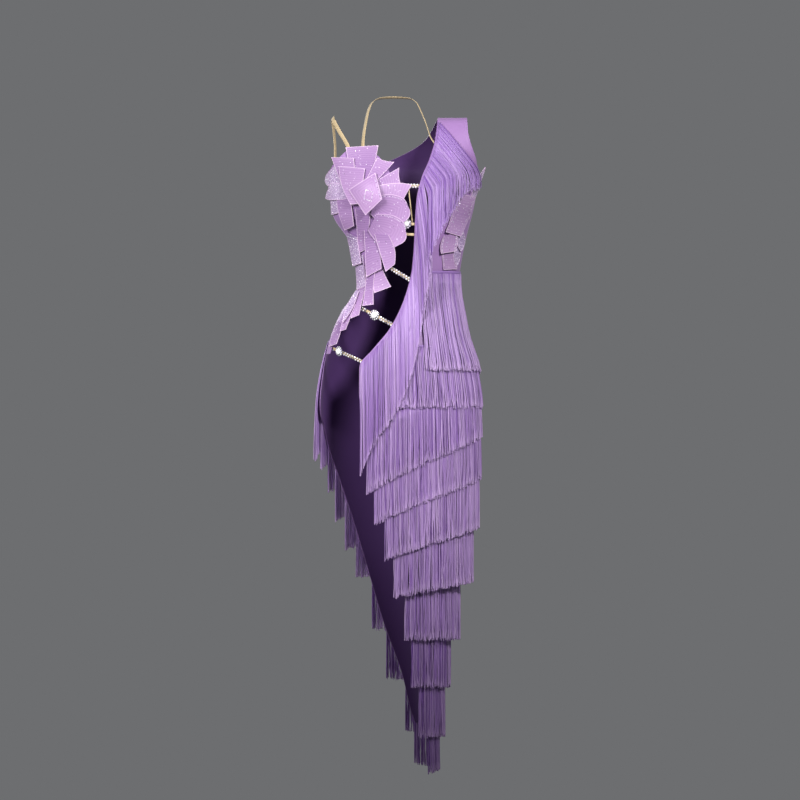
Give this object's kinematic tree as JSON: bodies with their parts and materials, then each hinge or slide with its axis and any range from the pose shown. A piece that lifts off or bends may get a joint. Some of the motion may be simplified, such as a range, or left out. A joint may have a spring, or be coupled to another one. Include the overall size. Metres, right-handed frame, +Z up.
{
  "type": "latin dance dress",
  "caption": "Asymmetric latin dance dress: wide fringed shoulder strap, petal cup, jewelled bands across an open side, long slanted fringe skirt.",
  "frame": {"origin": "between the shoulders, on the dress's middle plane, level with the top of the wide shoulder strap; this is where the wearer's shoulders hold the dress", "axes": "+Z up along the hanging dress, +Y towards the wearer's back, so the front faces -Y, and +X to the right as the front is seen"},
  "size_m": [0.3343, 0.2429, 1.3244],
  "materials": {
    "stretch_cloth": "soft satin lilac stretch knit",
    "cup_cloth": "soft satin lilac stretch knit, moulded cup",
    "fringe": "silky lilac strands",
    "petal": "ribbed stiffened cloth with pale edges and small crystals",
    "nude_elastic": "matte skin-tone elastic",
    "rhinestone_band": "close-set faceted stones in metal settings"
  },
  "bodies": {
    "root": {"band_01": "rhinestone_band", "band_02": "rhinestone_band", "band_03": "nude_elastic", "band_04": "rhinestone_band", "band_05": "rhinestone_band", "band_06": "rhinestone_band", "bodice_back": "stretch_cloth", "bodice_front": "stretch_cloth", "cup_left": "cup_cloth", "fringe_apron": "fringe", "fringe_bust": "fringe", "fringe_tier_01": "fringe", "fringe_tier_02": "fringe", "fringe_tier_03": "fringe", "fringe_tier_04": "fringe", "fringe_tier_05": "fringe", "fringe_tier_06": "fringe", "fringe_tier_07": "fringe", "fringe_tier_08": "fringe", "fringe_tier_09": "fringe", "fringe_tier_10": "fringe", "petal_01": "petal", "petal_02": "petal", "petal_03": "petal", "petal_04": "petal", "petal_05": "petal", "petal_06": "petal", "petal_07": "petal", "petal_08": "petal", "petal_09": "petal", "petal_10": "petal", "petal_11": "petal", "petal_12": "petal", "petal_13": "petal", "petal_14": "petal", "petal_15": "petal", "petal_16": "petal", "petal_17": "petal", "petal_18": "petal", "petal_19": "petal", "petal_20": "petal", "petal_21": "petal", "petal_22": "petal", "petal_23": "petal", "petal_24": "petal", "petal_25": "petal", "petal_26": "petal", "petal_27": "petal", "petal_28": "petal", "petal_29": "petal", "petal_30": "petal", "petal_31": "petal", "skirt_back": "stretch_cloth", "skirt_front": "stretch_cloth", "strap_halter": "nude_elastic", "strap_shoulder": "nude_elastic"}
  },
  "joints": []
}
